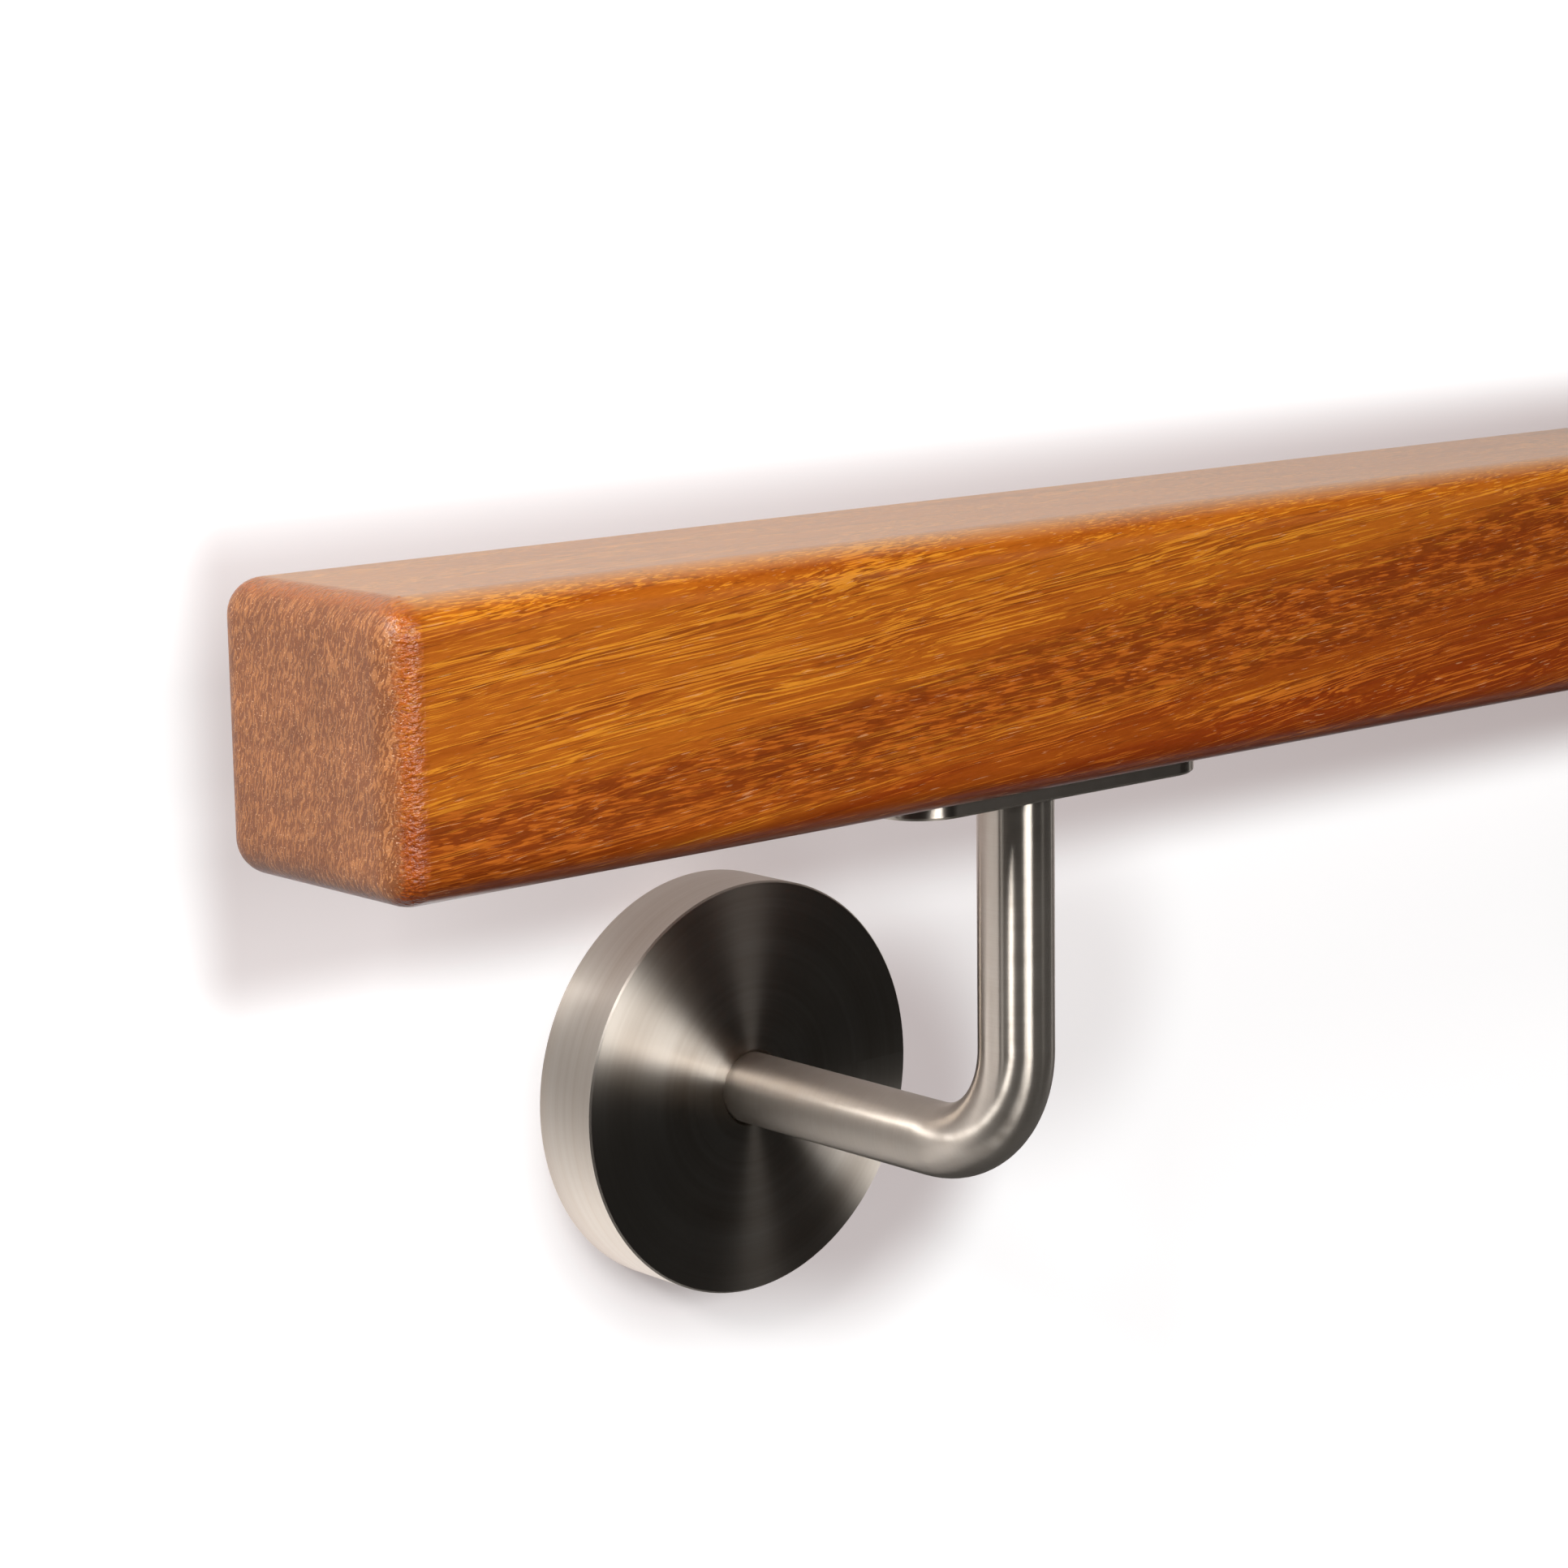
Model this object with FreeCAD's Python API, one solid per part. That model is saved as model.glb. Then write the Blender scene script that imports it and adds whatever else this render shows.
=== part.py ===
import FreeCAD, Part
import math
import os

# A length of wooden stair handrail on two bent steel wall brackets.
# The wall is the plane Z = 0 and the part lies on it: the round wall plates rest on Z = 0,
# +Z points out of the wall, +Y points up the wall and +X runs along the rail.
# The origin is the middle of the part's footprint on the wall. All sizes are in millimetres.

# Rail
RAIL_LENGTH = 550.0
RAIL_HEIGHT = 40.0
RAIL_DEPTH = 40.0
RAIL_EDGE_RADIUS = 5.0

# Where the brackets hold the rail
BRACKET_INSET = 130.0
WALL_TO_RAIL_CENTRE = 75.0
ROSETTE_AXIS_TO_RAIL_UNDERSIDE = 62.0

# Bent round rod
ROD_DIAMETER = 12.0
ROD_BEND_RADIUS = 18.0

# Tapped hole for an M8 hanger bolt in the rod's wall end
TAP_CORE_DIAMETER = 6.8
TAP_DEPTH = 25.0
TAP_MOUTH_CHAMFER = 0.6
DRILL_POINT_ANGLE = 118.0

# Round wall plate
ROSETTE_DIAMETER = 70.0
ROSETTE_THICKNESS = 13.0
ROSETTE_EDGE_BREAK = 0.3
ROSETTE_BORE_CHAMFER = 0.5
ROD_SEAT_CLEARANCE = 0.05

# Saddle plate under the rail
SADDLE_LENGTH = 64.0
SADDLE_WIDTH = 24.0
SADDLE_THICKNESS = 3.0
SADDLE_CORNER_RADIUS = 8.0
SADDLE_EDGE_BREAK = 0.4

# Countersunk wood screws through the saddle plate
SCREW_FROM_SADDLE_END = 10.0
SCREW_LENGTH = 25.0
SCREW_SHANK_DIAMETER = 4.0
SCREW_HEAD_DIAMETER = 7.8
SCREW_HEAD_ANGLE = 90.0
SCREW_HEAD_SINK = 0.1
SCREW_HOLE_CLEARANCE = 0.25
PILOT_CLEARANCE = 0.05
PILOT_EXTRA_DEPTH = 1.0
RECESS_WIDTH = 0.9
RECESS_SPAN = 4.2
RECESS_DEPTH = 1.4

# Worked out from the sizes above
ROD_RADIUS = ROD_DIAMETER / 2
ROSETTE_RADIUS = ROSETTE_DIAMETER / 2
RAIL_TOP_ABOVE_AXIS = ROSETTE_AXIS_TO_RAIL_UNDERSIDE + RAIL_HEIGHT
ROSETTE_AXIS_Y = (ROSETTE_RADIUS - RAIL_TOP_ABOVE_AXIS) / 2
RAIL_UNDERSIDE_Y = ROSETTE_AXIS_Y + ROSETTE_AXIS_TO_RAIL_UNDERSIDE
SADDLE_UNDERSIDE_Y = RAIL_UNDERSIDE_Y - SADDLE_THICKNESS
BRACKET_X = RAIL_LENGTH / 2 - BRACKET_INSET
SCREW_HEAD_SLOPE = math.tan(math.radians(SCREW_HEAD_ANGLE / 2))
SCREW_HEAD_HEIGHT = (SCREW_HEAD_DIAMETER - SCREW_SHANK_DIAMETER) / 2 / SCREW_HEAD_SLOPE
SCREW_HEAD_Y = SADDLE_UNDERSIDE_Y + SCREW_HEAD_SINK
SCREW_TIP_Y = SCREW_HEAD_Y + SCREW_LENGTH

ALONG_RAIL = FreeCAD.Vector(1, 0, 0)
UP_WALL = FreeCAD.Vector(0, 1, 0)
OUT_OF_WALL = FreeCAD.Vector(0, 0, 1)


def point(x, y, z):
    return FreeCAD.Vector(x, y, z)


def turned(profile, centre, axis):
    """A solid of revolution: profile lists (radius, distance along the axis) corners."""
    side = ALONG_RAIL
    corners = [centre + side * radius + axis * along for radius, along in profile]
    outline = Part.makePolygon(corners + corners[:1])
    return Part.Face(outline).revolve(centre, axis, 360)


def edges_along(solid, direction):
    """The straight edges of a block that run in one direction."""
    found = []
    for edge in solid.Edges:
        run = edge.valueAt(edge.LastParameter) - edge.valueAt(edge.FirstParameter)
        if abs(run.normalize().dot(direction)) > 0.999:
            found.append(edge)
    return found


def screw_places(bracket_x):
    """X of the screw on each side of a bracket's rod."""
    reach = SADDLE_LENGTH / 2 - SCREW_FROM_SADDLE_END
    return [bracket_x - reach, bracket_x + reach]


def rail():
    """Square hardwood length with every edge rounded and a pilot hole for each screw."""
    corner = point(-RAIL_LENGTH / 2, RAIL_UNDERSIDE_Y, WALL_TO_RAIL_CENTRE - RAIL_DEPTH / 2)
    blank = Part.makeBox(RAIL_LENGTH, RAIL_HEIGHT, RAIL_DEPTH, corner)
    solid = blank.makeFillet(RAIL_EDGE_RADIUS, blank.Edges)
    pilot_radius = SCREW_SHANK_DIAMETER / 2 + PILOT_CLEARANCE
    pilot_depth = SCREW_TIP_Y + PILOT_EXTRA_DEPTH - RAIL_UNDERSIDE_Y
    for bracket_x in (-BRACKET_X, BRACKET_X):
        for x in screw_places(bracket_x):
            mouth = point(x, RAIL_UNDERSIDE_Y, WALL_TO_RAIL_CENTRE)
            solid = solid.cut(Part.makeCylinder(pilot_radius, pilot_depth, mouth, UP_WALL))
    return solid


def rosette(bracket_x):
    """Turned disc with a flat back, a flat face with its rim just broken, and a bore for the rod."""
    bore_radius = ROD_RADIUS + ROD_SEAT_CLEARANCE
    profile = [
        (bore_radius, 0),
        (ROSETTE_RADIUS, 0),
        (ROSETTE_RADIUS, ROSETTE_THICKNESS - ROSETTE_EDGE_BREAK),
        (ROSETTE_RADIUS - ROSETTE_EDGE_BREAK, ROSETTE_THICKNESS),
        (bore_radius + ROSETTE_BORE_CHAMFER, ROSETTE_THICKNESS),
        (bore_radius, ROSETTE_THICKNESS - ROSETTE_BORE_CHAMFER),
    ]
    return turned(profile, point(bracket_x, ROSETTE_AXIS_Y, 0), OUT_OF_WALL)


def rod_path(bracket_x):
    """Out of the wall, round one bend and up to the saddle plate."""
    wall_end = point(bracket_x, ROSETTE_AXIS_Y, 0)
    bend_start = point(bracket_x, ROSETTE_AXIS_Y, WALL_TO_RAIL_CENTRE - ROD_BEND_RADIUS)
    bend_end = point(bracket_x, ROSETTE_AXIS_Y + ROD_BEND_RADIUS, WALL_TO_RAIL_CENTRE)
    saddle_end = point(bracket_x, SADDLE_UNDERSIDE_Y, WALL_TO_RAIL_CENTRE)
    back_off = ROD_BEND_RADIUS * (1 - math.sqrt(0.5))
    bend_middle = point(bracket_x, ROSETTE_AXIS_Y + back_off, WALL_TO_RAIL_CENTRE - back_off)
    return Part.Wire([
        Part.makeLine(wall_end, bend_start),
        Part.Arc(bend_start, bend_middle, bend_end).toShape(),
        Part.makeLine(bend_end, saddle_end),
    ])


def tapped_hole(bracket_x):
    """The drilled and countersunk space of the blind hole, at the thread's core size."""
    radius = TAP_CORE_DIAMETER / 2
    drill_point = radius / math.tan(math.radians(DRILL_POINT_ANGLE / 2))
    profile = [
        (0, 0),
        (radius + TAP_MOUTH_CHAMFER, 0),
        (radius, TAP_MOUTH_CHAMFER),
        (radius, TAP_DEPTH),
        (0, TAP_DEPTH + drill_point),
    ]
    return turned(profile, point(bracket_x, ROSETTE_AXIS_Y, 0), OUT_OF_WALL)


def arm(bracket_x):
    """Round rod with one bend and a tapped blind hole in its wall end."""
    section = Part.makeCircle(ROD_RADIUS, point(bracket_x, ROSETTE_AXIS_Y, 0), OUT_OF_WALL)
    rod = rod_path(bracket_x).makePipeShell([Part.Wire(section)], True, True)
    return rod.cut(tapped_hole(bracket_x))


def saddle(bracket_x):
    """Flat plate with rounded corners, its lower outline broken, and two countersunk holes."""
    corner = point(
        bracket_x - SADDLE_LENGTH / 2,
        SADDLE_UNDERSIDE_Y,
        WALL_TO_RAIL_CENTRE - SADDLE_WIDTH / 2,
    )
    blank = Part.makeBox(SADDLE_LENGTH, SADDLE_THICKNESS, SADDLE_WIDTH, corner)
    plate = blank.makeFillet(SADDLE_CORNER_RADIUS, edges_along(blank, UP_WALL))
    lower_face = min(plate.Faces, key=lambda face: face.CenterOfMass.y)
    plate = plate.makeChamfer(SADDLE_EDGE_BREAK, lower_face.Edges)
    mouth_radius = SCREW_HEAD_DIAMETER / 2 + SCREW_HEAD_SINK * SCREW_HEAD_SLOPE
    hole_radius = SCREW_SHANK_DIAMETER / 2 + SCREW_HOLE_CLEARANCE
    profile = [
        (0, 0),
        (mouth_radius, 0),
        (hole_radius, (mouth_radius - hole_radius) / SCREW_HEAD_SLOPE),
        (hole_radius, SADDLE_THICKNESS),
        (0, SADDLE_THICKNESS),
    ]
    for x in screw_places(bracket_x):
        plate = plate.cut(turned(profile, point(x, SADDLE_UNDERSIDE_Y, WALL_TO_RAIL_CENTRE), UP_WALL))
    return plate


def cross_recess(head):
    """Cross-shaped drive recess in a screw head."""
    half_span = RECESS_SPAN / 2
    half_width = RECESS_WIDTH / 2
    bars = []
    for half_x, half_z in ((half_span, half_width), (half_width, half_span)):
        corner = head - point(half_x, 0, half_z)
        bars.append(Part.makeBox(2 * half_x, RECESS_DEPTH, 2 * half_z, corner))
    return bars[0].fuse(bars[1]).removeSplitter()


def screw(x):
    """Countersunk wood screw, plain along its thread and blunt, driven up into the rail."""
    head = point(x, SCREW_HEAD_Y, WALL_TO_RAIL_CENTRE)
    shank_radius = SCREW_SHANK_DIAMETER / 2
    profile = [
        (0, 0),
        (SCREW_HEAD_DIAMETER / 2, 0),
        (shank_radius, SCREW_HEAD_HEIGHT),
        (shank_radius, SCREW_LENGTH),
        (0, SCREW_LENGTH),
    ]
    return turned(profile, head, UP_WALL).cut(cross_recess(head))


def bracket_parts(side, bracket_x):
    """One whole bracket with its screws, outer screw nearer the rail's end."""
    outer_x, inner_x = sorted(screw_places(bracket_x), key=abs, reverse=True)
    return {
        side + "_rosette": rosette(bracket_x),
        side + "_arm": arm(bracket_x),
        side + "_saddle": saddle(bracket_x),
        side + "_screw_outer": screw(outer_x),
        side + "_screw_inner": screw(inner_x),
    }


def main():
    parts = {"rail": rail()}
    parts.update(bracket_parts("left", -BRACKET_X))
    parts.update(bracket_parts("right", BRACKET_X))
    os.makedirs("parts", exist_ok=True)
    for name, shape in parts.items():
        shape.exportStep(os.path.join("parts", name + ".step"))
        print(name, shape.isValid(), len(shape.Solids), round(shape.Volume, 1))


main()
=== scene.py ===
import math

import bpy
from mathutils import Matrix, Vector


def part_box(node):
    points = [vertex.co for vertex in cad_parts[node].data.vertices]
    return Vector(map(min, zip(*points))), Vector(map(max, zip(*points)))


# The finish, light and camera of a stair handrail length on two bent steel brackets.
# The part lies with its round wall plates on the floor, which stands for the wall.
# Places are in metres in the row frame. Textures are sized in millimetres.

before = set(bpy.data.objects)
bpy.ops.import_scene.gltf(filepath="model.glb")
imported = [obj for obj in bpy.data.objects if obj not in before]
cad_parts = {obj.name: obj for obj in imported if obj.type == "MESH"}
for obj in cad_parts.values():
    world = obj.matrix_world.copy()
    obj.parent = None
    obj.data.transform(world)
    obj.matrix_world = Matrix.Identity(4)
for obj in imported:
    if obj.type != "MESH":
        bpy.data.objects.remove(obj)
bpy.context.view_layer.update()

MM = 0.001
PER_MM = 1000.0

# Camera, solved from the rail's corners and the bracket's outlines in the photograph
CAMERA_PLACE = Vector((-0.549152, 0.130249, 0.476407))
CAMERA_RIGHT = Vector((0.74535, -0.01496, 0.66651))
CAMERA_AHEAD = Vector((0.65375, -0.17954, -0.73511))
CAMERA_LENS = 87.069
CAMERA_SENSOR = 36.0
CAMERA_NEAR = 0.01


def box_centre(node):
    """The middle of a CAD node's box."""
    low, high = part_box(node)
    return (low + high) / 2


RAIL_LOW, RAIL_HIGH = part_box("rail")
ROSETTE_CENTRE = box_centre("right_rosette")
SADDLE_CENTRE = box_centre("right_saddle")


class Graph:
    """The node tree of a material or a world, with a short call for each kind of sum that it needs."""

    def __init__(self, name, blocks=bpy.data.materials):
        self.block = blocks.new(name)
        self.block.use_nodes = True
        self.tree = self.block.node_tree
        self.tree.nodes.clear()

    def put(self, socket, value):
        if isinstance(value, bpy.types.NodeSocket):
            self.tree.links.new(value, socket)
        else:
            socket.default_value = value

    def node(self, kind, inputs=None, **settings):
        made = self.tree.nodes.new(kind)
        for key, value in settings.items():
            setattr(made, key, value)
        for socket, value in (inputs or {}).items():
            self.put(made.inputs[socket], value)
        return made

    def sum(self, operation, *values):
        made = self.node("ShaderNodeMath", operation=operation)
        for socket, value in zip(made.inputs, values):
            self.put(socket, value)
        return made.outputs[0]

    def vector(self, operation, *values):
        made = self.node("ShaderNodeVectorMath", operation=operation)
        for socket, value in zip(made.inputs, values):
            self.put(socket, value)
        return made.outputs["Value" if operation in ("DOT_PRODUCT", "LENGTH") else "Vector"]

    def joined(self, x, y, z):
        return self.node("ShaderNodeCombineXYZ", {"X": x, "Y": y, "Z": z}).outputs[0]

    def split(self, vector):
        made = self.node("ShaderNodeSeparateXYZ", {"Vector": vector})
        return made.outputs["X"], made.outputs["Y"], made.outputs["Z"]

    def place(self):
        """The point in millimetres."""
        point = self.node("ShaderNodeTexCoord").outputs["Object"]
        return self.vector("MULTIPLY", point, (PER_MM, PER_MM, PER_MM))

    def normal(self):
        return self.node("ShaderNodeNewGeometry").outputs["Normal"]

    def noise(self, vector, sizes, detail=2.0, roughness=0.5, shift=0.0):
        """Noise from 0 to 1 whose blobs are as long as sizes says, in millimetres along each axis."""
        stretched = self.vector("DIVIDE", vector, sizes)
        moved = self.vector("ADD", stretched, (shift, shift * 1.7, shift * 2.3))
        inputs = {"Vector": moved, "Scale": 1.0, "Detail": detail, "Roughness": roughness}
        return self.node("ShaderNodeTexNoise", inputs).outputs["Fac"]

    def step(self, value, low, high, start=0.0, end=1.0):
        """A smooth step from start to end while value goes from low to high."""
        inputs = {"Value": value, "From Min": low, "From Max": high, "To Min": start, "To Max": end}
        return self.node("ShaderNodeMapRange", inputs, interpolation_type="SMOOTHSTEP").outputs["Result"]

    def span(self, value, low, high, start, end):
        """A straight line from start to end while value goes from low to high."""
        inputs = {"Value": value, "From Min": low, "From Max": high, "To Min": start, "To Max": end}
        return self.node("ShaderNodeMapRange", inputs).outputs["Result"]

    def mix(self, share, first, second, blend="MIX"):
        """first where share is 0 and second where it is 1, as colours."""
        made = self.node("ShaderNodeMix", data_type="RGBA", blend_type=blend)
        for name, value in (("Factor_Float", share), ("A_Color", first), ("B_Color", second)):
            socket = next(s for s in made.inputs if s.identifier == name)
            self.put(socket, value)
        return next(s for s in made.outputs if s.identifier == "Result_Color")

    def vary(self, seen, share, darkest, palest):
        """seen times darkest where share is 0 and times palest where it is 1."""
        return self.mix(1.0, seen, self.mix(share, darkest, palest), "MULTIPLY")

    def bump(self, height, distance):
        inputs = {"Height": height, "Distance": distance, "Strength": 1.0}
        return self.node("ShaderNodeBump", inputs).outputs["Normal"]

    def finish(self, inputs):
        """The material, with a Principled shader that has these inputs."""
        shader = self.node("ShaderNodeBsdfPrincipled", inputs)
        self.node("ShaderNodeOutputMaterial", {"Surface": shader.outputs[0]})
        return self.block


def colour(red, green, blue):
    """A colour as seen on screen, from 0 to 255 a channel, in the linear values that nodes take."""
    linear = []
    for level in (red, green, blue):
        share = level / 255
        linear.append(share / 12.92 if share <= 0.04045 else ((share + 0.055) / 1.055) ** 2.4)
    return (*linear, 1.0)


# Wood
# How far the fibres rise along the rail and lean out of its front, and how far the ends' lines lean
GRAIN_RISE = math.radians(5.4)
GRAIN_LEAN = 0.02
END_LEAN = 0.22
# The dashes and islands of the figured bands lie more level than the fibres
DASH_RISE = math.radians(1.5)
# How far the fibres' waves, the ends' lines and the edge's start wander, in millimetres
SWELL_HEIGHT = 5.0
TWIST_HEIGHT = 0.8
END_WARP_HEIGHT = 1.5
RAGGED_DEPTH = 2.0

GROUND_GOLD = colour(178, 94, 18)
GROUND_BROWN = colour(156, 73, 9)
GROUND_RED = colour(136, 52, 3)
GROUND_DARK = colour(104, 38, 2)
GROUND_FIGURED = colour(140, 60, 7)
STREAK_GOLD = colour(230, 148, 40)
STREAK_ORANGE = colour(208, 112, 32)
GRAIN_LINE = colour(100, 38, 4)
# Pale pores, partly the pores' own colour and partly a painted glint
PORE_PALE_AND_GLINT = colour(226, 164, 116)
EDGE_RED = colour(166, 78, 24)
# Dark red of the rail's end edges; the face that looks down also takes it as painted shade
EDGE_DARK_AND_UNDER_SHADE = colour(118, 46, 12)
END_GROUND = colour(132, 77, 42)
END_STREAK = colour(196, 131, 78)
# Painted glints: pale specks on the ends
END_GLINT = colour(232, 184, 140)
# Painted sheen: the face that looks up turns this paler tan, for the pale floor that it reflects at a
# grazing angle
TOP_PAINTED_SHEEN = colour(196, 160, 112)

# The darkest and the palest factor that each kind of fine mark puts on the colour under it
FIBRE_TONES = ((0.78, 0.76, 0.74, 1.0), (1.22, 1.24, 1.26, 1.0))
CLOUD_TONES = ((0.86, 0.84, 0.84, 1.0), (1.14, 1.14, 1.14, 1.0))
SPECKLE_TONES = ((0.62, 0.60, 0.58, 1.0), (1.38, 1.40, 1.42, 1.0))

# How long each kind of mark is along the fibres, across them and into the face, in millimetres
SWELL_SIZE = (85, 14, 14)
TWIST_SIZE = (18, 3.5, 3.5)
BUNDLE_SIZE = (120, 3.0, 3.4)
STREAK_SIZE = (25, 0.26, 0.33)
DRIFT_SIZE = (70, 12, 12)
TONE_SIZE = (140, 3.4, 3.8)
DASH_SIZE = (4.2, 0.36, 0.42)
ISLAND_SIZE = (5.0, 1.7, 1.9)
HAIR_SIZE = (11, 0.17, 0.21)
LINE_SIZE = (26, 0.34, 0.4)
FIBRE_SIZE = (1.6, 0.14, 0.14)
PORE_SIZE = (3.2, 0.20, 0.20)
RAGGED_SIZE = (3.0, 0.5, 0.5)
FLECK_SIZE = (1.1, 0.5, 0.5)

# The same on the ends, along X, Y and Z
END_WARP_SIZE = (9, 2.2, 2.2)
END_LINE_SIZE = (9, 1.3, 0.26)
SPECKLE_SIZE = (0.3, 0.22, 0.22)
GLINT_SIZE = (0.3, 0.24, 0.24)
CLOUD_SIZE = (12, 7, 7)

# How strongly each kind of mark covers the colour under it
ISLAND_SHARE = 0.42
SHADE_SHARE = 0.45
STREAK_SHARE = 0.68
HAIR_SHARE = 0.5
DASH_SHARE = 0.52
LINE_SHARE = 0.5
PORE_SHARE = 0.42
FIGURED_SHARE = 0.7
# The next two cover the colour with painted light: a painted sheen on the face that looks up, painted
# shade on the face that looks down
TOP_SHEEN_SHARE = 0.45
UNDER_SHADE_SHARE = 0.5
EDGE_SHARE = 0.55
END_LINE_SHARE = 0.62
GLINT_SHARE = 0.6

# The rounding at the rail's ends, where the long grain turns into end grain, in millimetres
RAIL_EDGE = 5.0
EDGE_REACH = (0.0, 2.5)
END_REACH = (3.6, 5.2)

# How far each kind of mark stands up, where 1 is the relief's whole depth, and how glossy the oil is
RELIEF = {"pore": -0.5, "fibre": 0.2, "edge": 6.0, "speckle": 1.4, "line": 0.4}
RELIEF_DEPTH = 0.05 * MM
OILED_ROUGHNESS = (0.28, 0.36)
END_DULLNESS = 0.12
OIL_IOR = 1.5

# A streak's shaded side lies this much lower on the face, in millimetres
STREAK_DROP = 0.2
STREAK_LEVEL = (0.89, 0.94)

# Figured, darker wood comes in bands: the middle of one, square to the fibres, and their spacing
FIGURE_MIDDLE = 60.0
FIGURE_SPACING = 50.0


def fibre_axes(g, place, rise):
    """The point's distances along fibres that rise so, across them up the face, and into the face."""
    along = Vector((math.cos(rise), math.sin(rise), GRAIN_LEAN)).normalized()
    across = Vector((0, 0, 1)).cross(along).normalized()
    into = along.cross(across)
    return [g.vector("DOT_PRODUCT", place, tuple(axis)) for axis in (along, across, into)]


def wavy_fibres(g, place):
    """The grain's axes with the gentle waves of the fibres put in."""
    along, across, into = fibre_axes(g, place, GRAIN_RISE)
    straight = g.joined(along, across, into)
    swell = g.noise(straight, SWELL_SIZE, detail=1.0, shift=1.9)
    twist = g.noise(straight, TWIST_SIZE, detail=1.0, shift=6.7)
    lift = g.sum("MULTIPLY_ADD", swell, SWELL_HEIGHT, g.sum("MULTIPLY", twist, TWIST_HEIGHT))
    return g.joined(along, g.sum("ADD", across, lift), g.sum("ADD", into, lift))


def long_streaks(g, grain, drop=0.0):
    """High on thin tapered lines along the fibres. drop moves the lines down the face."""
    lower = g.vector("ADD", grain, (0.0, drop, drop))
    bundle = g.noise(lower, BUNDLE_SIZE, detail=1.0, shift=8.3)
    lines = g.noise(lower, STREAK_SIZE, detail=1.5, shift=3.1)
    return g.sum("MULTIPLY_ADD", bundle, 0.6, lines)


def figure_share(g, grain, across):
    """How figured the wood is, from 0 to 1, in bands along the fibres."""
    rate = 2 * math.pi / FIGURE_SPACING
    turn = g.sum("MULTIPLY_ADD", across, rate, -FIGURE_MIDDLE * rate)
    drift = g.noise(grain, DRIFT_SIZE, detail=1.5, shift=2.3)
    level = g.sum("MULTIPLY_ADD", drift, 1.2, g.sum("COSINE", turn))
    return g.step(level, 1.15, 1.5)


def face_colour(g, place, grain, across):
    """Colour and pale marks of the long faces: fine golden lines, and bands of islands and dashes."""
    figure = figure_share(g, grain, across)
    bands = g.noise(grain, TONE_SIZE, detail=2.5, shift=11.3)
    tone = g.sum("MULTIPLY_ADD", bands, 1.7, g.span(across, 40.0, 70.0, -1.15, -0.4))
    ground = g.mix(g.step(tone, -0.25, 0.15), GROUND_RED, GROUND_BROWN)
    ground = g.mix(g.step(tone, 0.1, 0.6), ground, GROUND_GOLD)
    ground = g.mix(g.sum("MULTIPLY", figure, FIGURED_SHARE), ground, GROUND_FIGURED)

    level_place = g.joined(*fibre_axes(g, place, DASH_RISE))
    dashes = g.noise(level_place, DASH_SIZE, detail=1.5, roughness=0.6, shift=7.3)
    islands = g.noise(level_place, ISLAND_SIZE, detail=1.5, shift=4.9)
    dark = g.step(g.sum("MULTIPLY_ADD", dashes, -0.7, islands), 0.14, 0.20)
    dark = g.sum("MULTIPLY", dark, figure)
    dash = g.step(g.sum("MULTIPLY_ADD", islands, -0.4, dashes), 0.36, 0.41)
    dash = g.sum("MULTIPLY", dash, figure)

    calm = g.sum("MULTIPLY_ADD", figure, -0.7, 1.0)
    streak = g.sum("MULTIPLY", g.step(long_streaks(g, grain), *STREAK_LEVEL), calm)
    shade = g.sum("MULTIPLY", g.step(long_streaks(g, grain, STREAK_DROP), *STREAK_LEVEL), calm)
    hairs = g.noise(grain, HAIR_SIZE, detail=0.0, shift=6.1)
    hair = g.step(hairs, 0.64, 0.72)

    seen = g.mix(g.sum("MULTIPLY", dark, ISLAND_SHARE), ground, GROUND_DARK)
    seen = g.mix(g.sum("MULTIPLY", shade, SHADE_SHARE), seen, GRAIN_LINE)
    streak_colour = g.mix(g.step(tone, -0.15, 0.5), STREAK_ORANGE, STREAK_GOLD)
    seen = g.mix(g.sum("MULTIPLY", streak, STREAK_SHARE), seen, streak_colour)
    seen = g.mix(g.sum("MULTIPLY", hair, HAIR_SHARE), seen, streak_colour)
    seen = g.mix(g.sum("MULTIPLY", dash, DASH_SHARE), seen, STREAK_ORANGE)
    lines = g.noise(grain, LINE_SIZE, detail=1.0, shift=9.1)
    seen = g.mix(g.step(lines, 0.64, 0.76, 0.0, LINE_SHARE), seen, GRAIN_LINE)
    return seen, g.sum("MAXIMUM", streak, dash)


def end_grain(g, place):
    """Colour and relief of the sawn ends: short wavy tan lines that lean a little, on brown, with painted
    glints.
    """
    x, y, z = g.split(place)
    warp = g.noise(place, END_WARP_SIZE, detail=1.0, shift=3.3)
    wandering = g.sum("MULTIPLY_ADD", warp, END_WARP_HEIGHT, z)
    leaning = g.sum("MULTIPLY_ADD", y, -END_LEAN, wandering)
    lines = g.noise(g.joined(x, y, leaning), END_LINE_SIZE, detail=1.5, roughness=0.55, shift=5.9)
    line = g.step(lines, 0.49, 0.59)
    speckle = g.noise(place, SPECKLE_SIZE, detail=1.5, shift=1.3)
    seen = g.mix(g.sum("MULTIPLY", line, END_LINE_SHARE), END_GROUND, END_STREAK)
    # Painted glints: tiny pale specks
    glints = g.noise(place, GLINT_SIZE, detail=0.0, shift=7.4)
    seen = g.mix(g.step(glints, 0.72, 0.78, 0.0, GLINT_SHARE), seen, END_GLINT)
    cloud = g.noise(place, CLOUD_SIZE, detail=2.0, shift=8.8)
    seen = g.vary(seen, g.step(cloud, 0.25, 0.75), *CLOUD_TONES)
    seen = g.vary(seen, speckle, *SPECKLE_TONES)
    return seen, line, speckle


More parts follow.
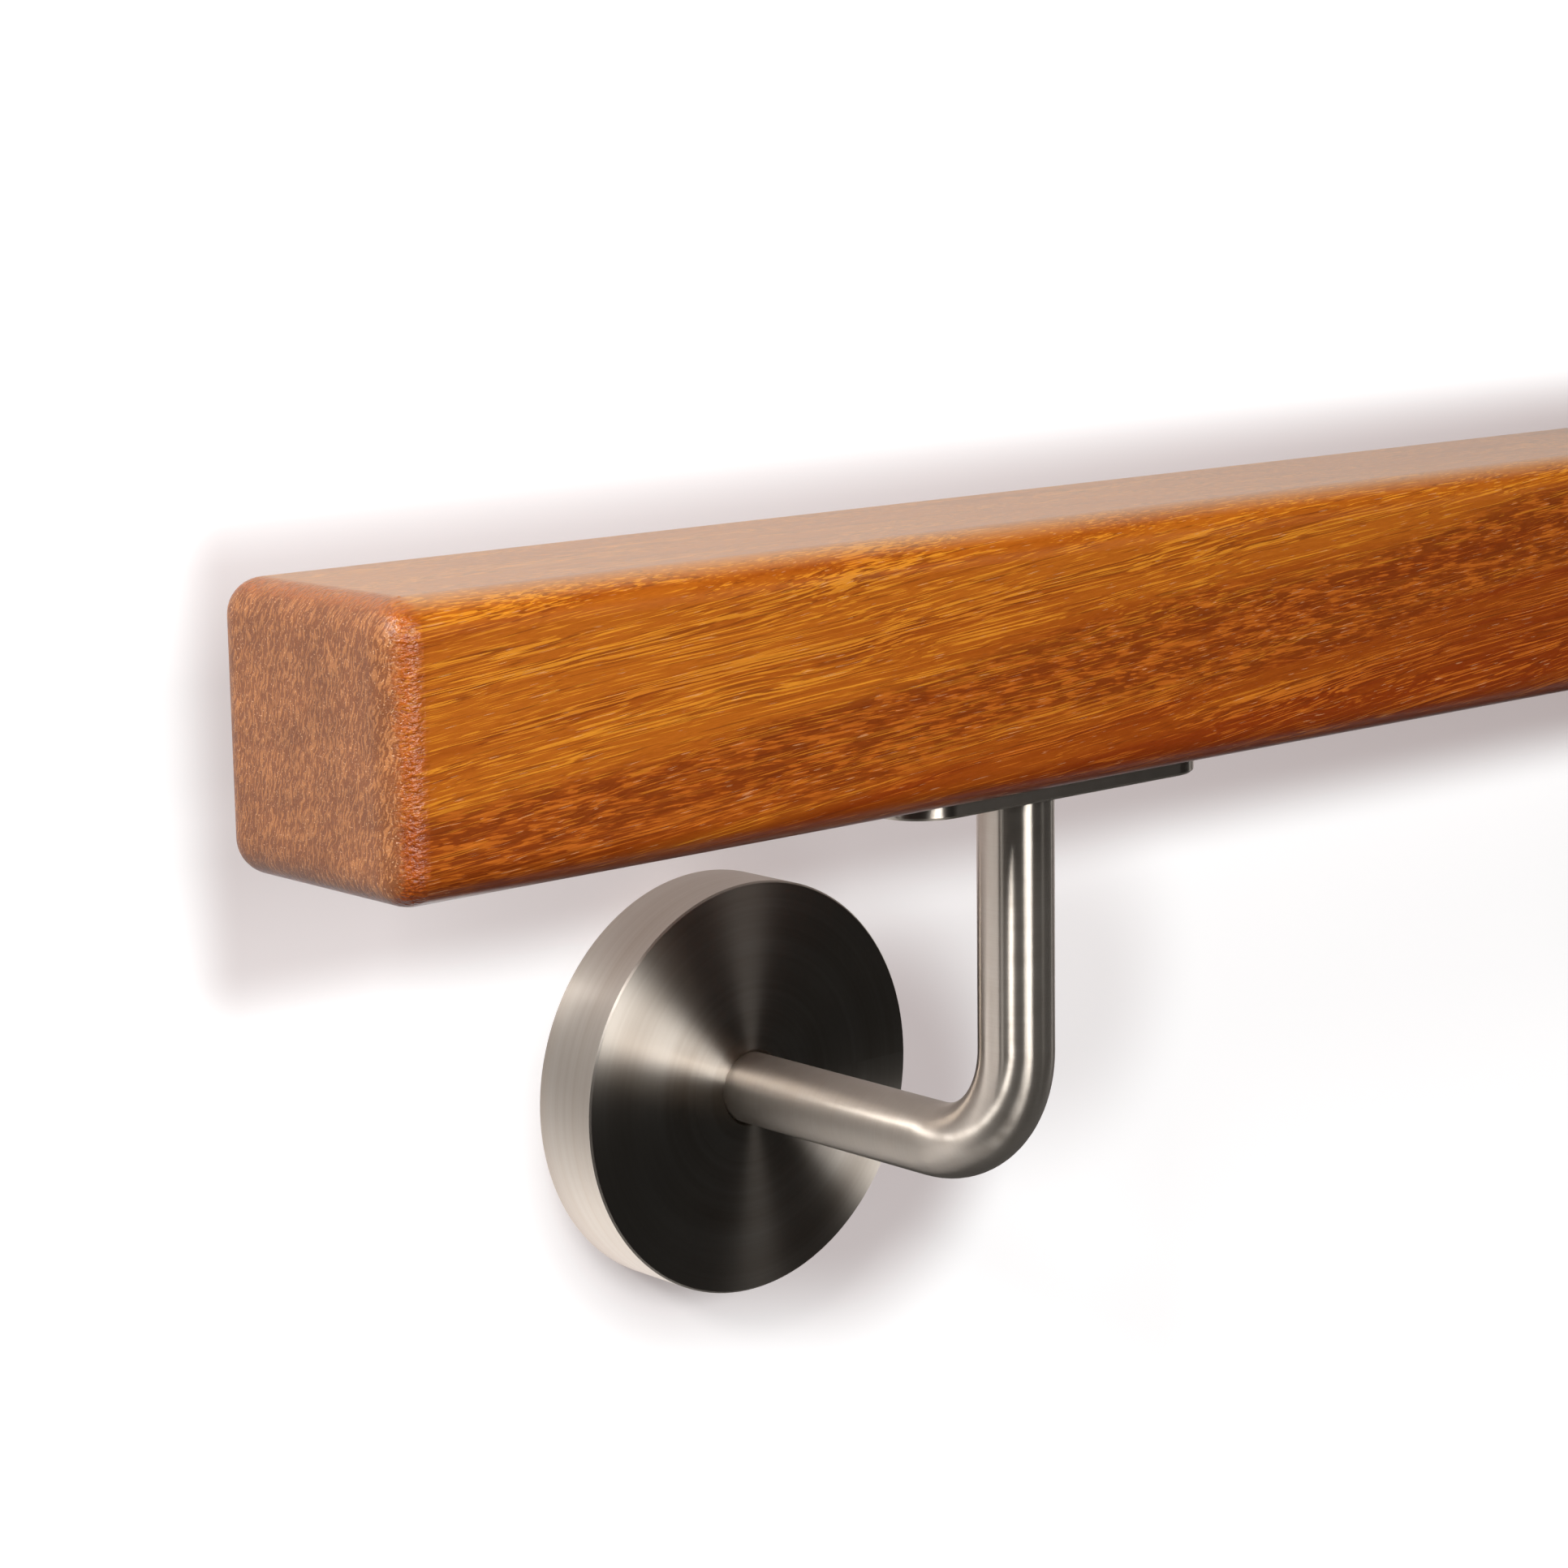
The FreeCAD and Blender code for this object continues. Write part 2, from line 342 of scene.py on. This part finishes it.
def hardwood():
    """Oiled tropical hardwood with pale streaks along the fibres and short wavy lines on the ends, a
    painted sheen on the face that looks up and painted shade on the face that looks down.
    """
    g = Graph("oiled_hardwood")
    place = g.place()
    across = fibre_axes(g, place, GRAIN_RISE)[1]
    grain = wavy_fibres(g, place)
    seen, streak = face_colour(g, place, grain, across)
    facing_up = g.split(g.normal())[1]
    # Painted sheen: the face that looks up turns paler tan
    seen = g.mix(g.step(facing_up, 0.5, 1.0, 0.0, TOP_SHEEN_SHARE), seen, TOP_PAINTED_SHEEN)
    # Painted shade: the face that looks down turns dark red
    seen = g.mix(g.step(facing_up, -0.9, -0.3, UNDER_SHADE_SHARE, 0.0), seen, EDGE_DARK_AND_UNDER_SHADE)

    fibres = g.noise(grain, FIBRE_SIZE, detail=2.0, shift=2.9)
    seen = g.vary(seen, fibres, *FIBRE_TONES)
    pores = g.noise(grain, PORE_SIZE, detail=0.0, shift=5.3)
    pore = g.step(g.sum("MULTIPLY_ADD", streak, 0.06, pores), 0.76, 0.84)
    # Pale pores, partly their own colour and partly a painted glint
    seen = g.mix(g.sum("MULTIPLY", pore, PORE_SHARE), seen, PORE_PALE_AND_GLINT)

    end_seen, line, speckle = end_grain(g, place)
    edge_start = RAIL_HIGH.x * PER_MM - RAIL_EDGE
    from_middle = g.sum("ABSOLUTE", g.split(place)[0])
    ragged = g.sum("MULTIPLY_ADD", g.noise(grain, RAGGED_SIZE), RAGGED_DEPTH, from_middle)
    edge = g.step(ragged, *[edge_start + reach for reach in EDGE_REACH])
    end = g.step(ragged, *[edge_start + reach for reach in END_REACH])
    fleck = g.noise(grain, FLECK_SIZE, detail=2.0, shift=7.7)
    edge_seen = g.mix(g.step(fleck, 0.38, 0.6), EDGE_DARK_AND_UNDER_SHADE, EDGE_RED)
    seen = g.mix(g.sum("MULTIPLY", edge, EDGE_SHARE), seen, edge_seen)
    seen = g.mix(end, seen, end_seen)

    only_edge = g.sum("MULTIPLY", edge, g.sum("SUBTRACT", 1.0, end))
    edge_relief = g.sum("MULTIPLY", g.sum("SUBTRACT", fleck, 0.5), RELIEF["edge"])
    relief = g.sum("MULTIPLY", pore, RELIEF["pore"])
    relief = g.sum("MULTIPLY_ADD", fibres, RELIEF["fibre"], relief)
    relief = g.sum("MULTIPLY_ADD", edge_relief, only_edge, relief)
    relief = g.sum("MULTIPLY_ADD", speckle, g.sum("MULTIPLY", end, RELIEF["speckle"]), relief)
    relief = g.sum("MULTIPLY_ADD", line, g.sum("MULTIPLY", end, RELIEF["line"]), relief)
    roughness = g.span(fibres, 0.3, 0.7, *OILED_ROUGHNESS)
    roughness = g.sum("MULTIPLY_ADD", end, END_DULLNESS, roughness)

    return g.finish({
        "Base Color": seen,
        "Roughness": roughness,
        "IOR": OIL_IOR,
        "Normal": g.bump(relief, RELIEF_DEPTH),
    })


# Steel
STEEL = colour(206, 198, 188)
STEEL_WARM = colour(186, 174, 161)
ROD_BEND_RADIUS = 18.0
# Marks on the wall plate: their sizes outwards, round and along its axis, in millimetres and radians
FINE_RING_SIZE = (0.22, 6.0, 0.22)
RING_SIZE = (1.0, 5.0, 1.0)
WIDE_RING_SIZE = (6.0, 1.4, 6.0)
FINE_RING_SHARE = 0.12
RING_SHARE = 0.33
WIDE_RING_SHARE = 0.55
# Marks on the bar, across it and along its path, and on the saddle
BAR_RING_SIZE = (9.0, 0.3, 9.0)
BAR_WEAR_SIZE = (2.6, 2.6, 2.6)
BAR_WEAR_SHARE = 0.6
BAR_WEAR_DEPTH = 0.002 * MM
SADDLE_LINE_SIZE = (7.0, 0.12, 0.2)
SADDLE_WEAR_SIZE = (2.0, 2.0, 2.0)
SADDLE_WEAR_SHARE = 0.4
SADDLE_LINE_DEPTH = 0.001 * MM
# The roughness of satin steel where marks go through these levels
MARK_LEVELS = (0.35, 0.65)
SATIN = (0.28, 0.32)
GROUND_SATIN = (0.28, 0.34)
BENT_SATIN = (0.29, 0.37)
# What is added to it: outwards on the wall plate between these radii, on the leg, on the saddle's edge
FACED_REACH = (8.0, 35.0)
OUTER_DULLNESS = 0.06
LEG_DULLNESS = 0.10
DEBURRED_DULLNESS = 0.2
# The bar lets a little of its own tone through, so that its dark side isn't black
BAR_METALLIC = 0.89
# The bend's duller surface sets in between these distances from each straight run, in millimetres
BEND_MARGIN = (1.0, 8.0)


def steel(g, marks, tangent, roughness, anisotropy, normal=None, metallic=1.0):
    """Satin steel whose tone goes with marks, from 0 to 1, and whose grooves cross the tangent."""
    inputs = {
        "Base Color": g.mix(marks, STEEL_WARM, STEEL),
        "Metallic": metallic,
        "Roughness": roughness,
        "Anisotropic": anisotropy,
        "Tangent": tangent,
    }
    if normal is not None:
        inputs["Normal"] = normal
    return g.finish(inputs)


def turned_steel(centre_x, centre_y):
    """Steel faced on a lathe: fine rings round a centre, the same on each side of the middle."""
    g = Graph("turned_steel")
    place = g.place()
    x, y, z = g.split(place)
    side_x = g.sum("SUBTRACT", g.sum("ABSOLUTE", x), centre_x)
    side_y = g.sum("SUBTRACT", y, centre_y)
    radius = g.vector("LENGTH", g.joined(side_x, side_y, 0.0))
    around = g.joined(radius, g.sum("ARCTAN2", side_y, side_x), z)
    fine = g.noise(around, FINE_RING_SIZE, detail=2.0, roughness=0.6)
    rings = g.noise(around, RING_SIZE, detail=1.0, roughness=0.6, shift=2.1)
    wide = g.noise(around, WIDE_RING_SIZE, detail=1.0, shift=4.4)
    marks = g.sum("MULTIPLY_ADD", rings, RING_SHARE, g.sum("MULTIPLY", wide, WIDE_RING_SHARE))
    marks = g.sum("MULTIPLY_ADD", fine, FINE_RING_SHARE, marks)
    round_way = g.joined(g.sum("MULTIPLY", side_y, -1.0), side_x, 0.0)
    mirrored = g.vector("MULTIPLY", round_way, g.joined(1.0, g.sum("SIGN", x), 0.0))
    tangent = g.vector("NORMALIZE", g.vector("CROSS_PRODUCT", g.normal(), mirrored))
    outer = g.span(radius, *FACED_REACH, 0.0, OUTER_DULLNESS)
    roughness = g.sum("ADD", outer, g.span(marks, *MARK_LEVELS, *SATIN))
    return steel(g, g.span(marks, 0.3, 0.7, 0.0, 1.0), tangent, roughness, 1.0)


def rod_steel():
    """Round bar brushed round its girth, duller on the bend and the leg."""
    g = Graph("rod_steel")
    place = g.place()
    x, y, z = g.split(place)
    bend_y = ROSETTE_CENTRE.y * PER_MM + ROD_BEND_RADIUS
    bend_z = SADDLE_CENTRE.z * PER_MM - ROD_BEND_RADIUS
    # Neither distance reaches 0, so that the tangent has a direction on the straight runs too
    below = g.sum("MAXIMUM", g.sum("SUBTRACT", bend_y, y), 0.001)
    outward = g.sum("MAXIMUM", g.sum("SUBTRACT", z, bend_z), 0.001)
    tangent = g.vector("NORMALIZE", g.joined(0.0, outward, below))
    on_bend = g.sum("MULTIPLY", g.step(below, *BEND_MARGIN), g.step(outward, *BEND_MARGIN))
    angle = g.sum("ARCTAN2", outward, below)
    leg_run = g.sum("MINIMUM", z, bend_z)
    upright_run = g.sum("MAXIMUM", g.sum("SUBTRACT", y, bend_y), 0.0)
    run = g.sum("MULTIPLY_ADD", angle, ROD_BEND_RADIUS, g.sum("ADD", leg_run, upright_run))
    rings = g.noise(g.joined(x, run, 0.0), BAR_RING_SIZE, detail=1.0)
    wear = g.noise(place, BAR_WEAR_SIZE, detail=1.5, shift=6.2)
    marks = g.sum("MULTIPLY_ADD", wear, BAR_WEAR_SHARE, g.sum("MULTIPLY", rings, 1 - BAR_WEAR_SHARE))
    straight = g.span(marks, *MARK_LEVELS, *SATIN)
    bent = g.span(wear, 0.3, 0.7, *BENT_SATIN)
    roughness = g.sum("MULTIPLY_ADD", g.sum("SUBTRACT", bent, straight), on_bend, straight)
    on_leg = g.step(outward, 0.01, BEND_MARGIN[1], 1.0, 0.0)
    roughness = g.sum("MULTIPLY_ADD", on_leg, LEG_DULLNESS, roughness)
    relief = g.bump(g.sum("MULTIPLY", wear, on_bend), BAR_WEAR_DEPTH)
    return steel(g, marks, tangent, roughness, 1.0, relief, BAR_METALLIC)


def plate_steel():
    """Flat bar ground along its length, with the same grain round its edge."""
    g = Graph("plate_steel")
    place = g.place()
    facing_down = g.sum("ABSOLUTE", g.split(g.normal())[1])
    flat = g.step(facing_down, 0.85, 0.95)
    tangent = g.vector("NORMALIZE", g.joined(0.0, g.sum("SUBTRACT", 1.0, flat), flat))
    lines = g.noise(place, SADDLE_LINE_SIZE, detail=3.0, roughness=0.7)
    wear = g.noise(place, SADDLE_WEAR_SIZE, detail=3.0, shift=2.2)
    lined = g.sum("MULTIPLY", lines, 1 - SADDLE_WEAR_SHARE)
    marks = g.sum("MULTIPLY_ADD", wear, SADDLE_WEAR_SHARE, lined)
    deburred = g.sum("MULTIPLY", g.step(facing_down, 0.3, 0.6), g.sum("SUBTRACT", 1.0, flat))
    roughness = g.span(marks, *MARK_LEVELS, *GROUND_SATIN)
    roughness = g.sum("MULTIPLY_ADD", deburred, DEBURRED_DULLNESS, roughness)
    return steel(g, marks, tangent, roughness, 0.9, g.bump(lines, SADDLE_LINE_DEPTH))


# Floor and light
FLOOR_HALF = 30.0
FLOOR_DROP = 0.0001
FLOOR_COLOUR = (0.50, 0.475, 0.475, 1.0)
FLOOR_MOTTLE_SIZE = (400, 400, 400)
FLOOR_MOTTLE_SHARE = 0.1
# The floor's own glow to the camera: lower in the part's painted shadow, in the open, and over these
# distances far away
SHADE_GLOW = (0.22, 0.175, 0.17, 1.0)
OPEN_GLOW = (0.75, 0.75, 0.75, 1.0)
FAR_GLOW = (1.0, 1.0, 1.0, 1.0)
FAR_REACH = (300.0, 1200.0)
# The rail's painted shadow on the floor starts and ends this far from the rail's own sides, with a soft
# margin, in millimetres
RAIL_MARGIN = 15.0
RAIL_SHADE = {"left": 39.0, "below": -28.0, "above": -8.0}
# Between these places from left to right the rail's painted shadow lets through less and less of the glow
RAIL_SHADE_TURN = (-200.0, 150.0, 0.20, 0.02)
# Painted shadow beside each bracket: a run's start and end from the wall plate's axis, half width,
# margin, strength
BRACKET_SHADES = (
    ((0.0, -9.0), (33.0, -15.0), 22.0, 24.0, 0.85),
    ((0.0, 0.0), (85.0, 0.0), 12.0, 30.0, 0.35),
)
# How the floor shows in the steel, a painted reflection: its share in the shade and in the open, and
# where it fades away
MIRROR_SHADE = 1.5
MIRROR_OPEN = 0.5
MIRROR_MIDDLE = (-200.0, 100.0, 0.0)
MIRROR_REACH = (350.0, 800.0)
MIRROR_BELOW = (-300.0, -160.0)
MIRROR_LEAST = 0.1
# A painted brighter patch of floor in the steel beside the wall plate, in millimetres: its middle, its
# two radii and its added share
MIRROR_PATCH = (-172.0, -72.0, 0.0)
MIRROR_PATCH_RADII = (10.0, 50.0)
MIRROR_PATCH_GAIN = 2.2
# A painted dimmer corner of floor in the steel below and right of the left bracket, and the share that it
# loses
MIRROR_CORNER = {"x": (-150.0, -125.0), "y": (-65.0, -42.0)}
MIRROR_CORNER_LOSS = 0.8
# Where the lamps aim, and the room round them
LEFT_BRACKET = (-0.145, -0.033, 0.04)
PART_MIDDLE = (0.0, 0.0, 0.05)
ROOM_COLOUR = (1.0, 1.0, 1.0, 1.0)
ROOM_STRENGTH = 0.02
# The steel sees the white room up to this rise above the horizon, and a dark ceiling over it
ROOM_RISE = (0.02, 0.12)


def beyond(g, x, y, low, high):
    """Distance from a rectangle on the floor, 0 inside it."""
    gaps = []
    for value, start, end in ((x, low[0], high[0]), (y, low[1], high[1])):
        from_middle = g.sum("ABSOLUTE", g.sum("SUBTRACT", value, (start + end) / 2))
        gaps.append(g.sum("MAXIMUM", g.sum("SUBTRACT", from_middle, (end - start) / 2), 0.0))
    return g.vector("LENGTH", g.joined(*gaps, 0.0))


def from_run(g, x, y, first, last):
    """Distance from a straight run between two places on the floor."""
    run = Vector(last) - Vector(first)
    from_first = g.joined(g.sum("SUBTRACT", x, first[0]), g.sum("SUBTRACT", y, first[1]), 0.0)
    per_length = run / run.length_squared
    share = g.vector("DOT_PRODUCT", from_first, (per_length.x, per_length.y, 0.0))
    nearest = g.node("ShaderNodeClamp", {"Value": share}).outputs[0]
    foot = g.vector("MULTIPLY", g.joined(nearest, nearest, 0.0), (run.x, run.y, 0.0))
    return g.vector("LENGTH", g.vector("SUBTRACT", from_first, foot))


def painted_shadow_share(g):
    """A painted shadow: 1 on the ground that the part shades, fading to 0 round it."""
    x, y, _ = g.split(g.place())
    low = RAIL_LOW * PER_MM
    high = RAIL_HIGH * PER_MM
    away = beyond(
        g, x, y,
        (low.x + RAIL_SHADE["left"], low.y + RAIL_SHADE["below"]),
        (high.x + RAIL_SHADE["left"], high.y + RAIL_SHADE["above"]),
    )
    lightest = g.span(x, *RAIL_SHADE_TURN)
    open_share = g.span(g.step(away, 0.0, RAIL_MARGIN), 0.0, 1.0, lightest, 1.0)
    rosette = ROSETTE_CENTRE * PER_MM
    for side in (-1, 1):
        for start, end, radius, margin, strength in BRACKET_SHADES:
            first = (side * rosette.x + start[0], rosette.y + start[1])
            last = (side * rosette.x + end[0], rosette.y + end[1])
            clear = g.step(from_run(g, x, y, first, last), radius, radius + margin, 1 - strength, 1.0)
            open_share = g.sum("MULTIPLY", open_share, clear)
    return g.sum("SUBTRACT", 1.0, open_share)


def floor_material():
    """Matt pale floor that shows as white to the camera and in the steel, but keeps the part's shadow.
    Round the part its glow is lower, a painted shadow; in the steel it shows a painted brighter patch, a
    painted dimmer corner, and goes darker far away and below.
    """
    g = Graph("studio_floor")
    mottle = g.noise(g.place(), FLOOR_MOTTLE_SIZE, detail=2.0)
    tone = g.mix(g.sum("MULTIPLY", mottle, FLOOR_MOTTLE_SHARE), FLOOR_COLOUR, OPEN_GLOW)
    rays = g.node("ShaderNodeLightPath").outputs
    mirrored = g.sum("MAXIMUM", rays["Is Glossy Ray"], rays["Is Transmission Ray"])

    x, y, _ = g.split(g.place())
    # Painted reflection: in the steel the floor goes darker far away, below, and in the corner beside the
    # bracket
    corner = g.sum("MULTIPLY", g.step(x, *MIRROR_CORNER["x"]), g.step(y, *MIRROR_CORNER["y"], 1.0, 0.0))
    away = g.vector("LENGTH", g.vector("SUBTRACT", g.place(), MIRROR_MIDDLE))
    near = g.step(away, *MIRROR_REACH, 1.0, MIRROR_LEAST)
    lit = g.sum("MULTIPLY", near, g.step(y, *MIRROR_BELOW, MIRROR_LEAST, 1.0))
    lit = g.sum("MULTIPLY", lit, g.sum("MULTIPLY_ADD", corner, -MIRROR_CORNER_LOSS, 1.0))
    unlit = g.sum("MULTIPLY", mirrored, g.sum("SUBTRACT", 1.0, lit))
    paint = g.node("ShaderNodeBsdfDiffuse", {"Color": g.mix(unlit, tone, (0.0, 0.0, 0.0, 1.0))})

    # The glow is lower in a painted shadow round the part
    shade = painted_shadow_share(g)
    # A painted brighter patch of floor shows in the steel beside the wall plate
    from_patch = g.vector("LENGTH", g.vector("SUBTRACT", g.place(), MIRROR_PATCH))
    patch = g.step(from_patch, *MIRROR_PATCH_RADII, MIRROR_PATCH_GAIN, 0.0)
    share = g.sum("ADD", g.span(shade, 0.0, 1.0, MIRROR_OPEN, MIRROR_SHADE), patch)
    in_steel = g.sum("MULTIPLY", mirrored, g.sum("MULTIPLY", share, lit))
    direct = g.sum("MAXIMUM", rays["Is Camera Ray"], in_steel)
    far = g.step(g.vector("LENGTH", g.place()), *FAR_REACH)
    glow_colour = g.mix(shade, g.mix(far, OPEN_GLOW, FAR_GLOW), SHADE_GLOW)
    glow = g.node("ShaderNodeEmission", {"Color": glow_colour, "Strength": direct})
    painted = g.node("ShaderNodeAddShader", {0: paint.outputs[0], 1: glow.outputs[0]})
    g.node("ShaderNodeOutputMaterial", {"Surface": painted.outputs[0]})
    return g.block


def make_floor():
    corners = [(-FLOOR_HALF, -FLOOR_HALF), (FLOOR_HALF, -FLOOR_HALF)]
    corners += [(FLOOR_HALF, FLOOR_HALF), (-FLOOR_HALF, FLOOR_HALF)]
    mesh = bpy.data.meshes.new("floor")
    mesh.from_pydata([(x, y, -FLOOR_DROP) for x, y in corners], [], [(0, 1, 2, 3)])
    mesh.materials.append(floor_material())
    floor = bpy.data.objects.new("floor", mesh)
    bpy.context.scene.collection.objects.link(floor)


def lamp(name, place, aim, width, height, radiance, in_steel=True, on_matt=True):
    """A flat soft lamp of that size that the camera doesn't see. Its height side stays along +Y."""
    data = bpy.data.lights.new(name, "AREA")
    data.shape = "RECTANGLE"
    data.size = width
    data.size_y = height
    data.energy = radiance * math.pi * width * height
    made = bpy.data.objects.new(name, data)
    back = (Vector(place) - Vector(aim)).normalized()
    right = Vector((0, 1, 0)).cross(back).normalized()
    turn = Matrix((right, back.cross(right), back)).transposed()
    made.matrix_world = Matrix.Translation(place) @ turn.to_4x4()
    made.visible_camera = False
    made.visible_glossy = in_steel
    made.visible_diffuse = on_matt
    bpy.context.scene.collection.objects.link(made)


def light_scene():
    """A key box and two strips above, a box on the left, and a fill and a small box on the right."""
    lamp("key_box", (-0.35, 0.35, 1.21), (-0.10, 0.0, 0.04), 0.42, 0.36, 14.0)
    lamp("strip_box", (-0.245, 0.05, 1.26), LEFT_BRACKET, 0.34, 0.08, 10.0)
    lamp("stripe_box", (-0.245, 0.03, 1.27), LEFT_BRACKET, 0.34, 0.03, 40.0, on_matt=False)
    lamp("left_box", (-0.96, 0.62, 0.53), LEFT_BRACKET, 0.22, 0.32, 56.0)
    lamp("right_fill", (1.50, -0.30, 0.60), PART_MIDDLE, 0.80, 0.80, 1.2, in_steel=False)
    lamp("reflector", (0.645, 0.217, 0.97), LEFT_BRACKET, 0.20, 0.20, 1.1)


def make_room():
    """A room with nearly no light of its own, white to the camera and, near the horizon, in the steel."""
    g = Graph("room", bpy.data.worlds)
    bpy.context.scene.world = g.block
    rays = g.node("ShaderNodeLightPath").outputs
    mirrored = g.sum("MAXIMUM", rays["Is Glossy Ray"], rays["Is Transmission Ray"])
    rise = g.split(g.node("ShaderNodeTexCoord").outputs["Generated"])[2]
    in_steel = g.sum("MULTIPLY", mirrored, g.step(rise, *ROOM_RISE, 1.0, 0.0))
    white = g.sum("MAXIMUM", rays["Is Camera Ray"], in_steel)
    strength = g.span(white, 0.0, 1.0, ROOM_STRENGTH, 1.0)
    room = g.node("ShaderNodeBackground", {"Color": ROOM_COLOUR, "Strength": strength})
    g.node("ShaderNodeOutputWorld", {"Surface": room.outputs[0]})


def make_camera():
    data = bpy.data.cameras.new("camera")
    data.sensor_width = CAMERA_SENSOR
    data.lens = CAMERA_LENS
    data.clip_start = CAMERA_NEAR
    camera = bpy.data.objects.new("camera", data)
    back = -CAMERA_AHEAD
    up = back.cross(CAMERA_RIGHT)
    turn = Matrix((CAMERA_RIGHT, up, back)).transposed()
    camera.matrix_world = Matrix.Translation(CAMERA_PLACE) @ turn.to_4x4()
    bpy.context.scene.collection.objects.link(camera)
    bpy.context.scene.camera = camera


def dress(names, material):
    """Puts one material on each of these CAD nodes."""
    for name in names:
        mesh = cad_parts[name].data
        mesh.materials.clear()
        mesh.materials.append(material)


def sides(piece):
    return ["left_" + piece, "right_" + piece]


def dress_parts():
    rosette_x, rosette_y = ROSETTE_CENTRE.x * PER_MM, ROSETTE_CENTRE.y * PER_MM
    dress(["rail"], hardwood())
    dress(sides("rosette"), turned_steel(rosette_x, rosette_y))
    dress(sides("arm"), rod_steel())
    dress(sides("saddle"), plate_steel())
    dress(sides("screw_outer") + sides("screw_inner"), plate_steel())


dress_parts()
make_camera()
make_floor()
light_scene()
make_room()
bpy.context.scene.view_settings.view_transform = "Standard"
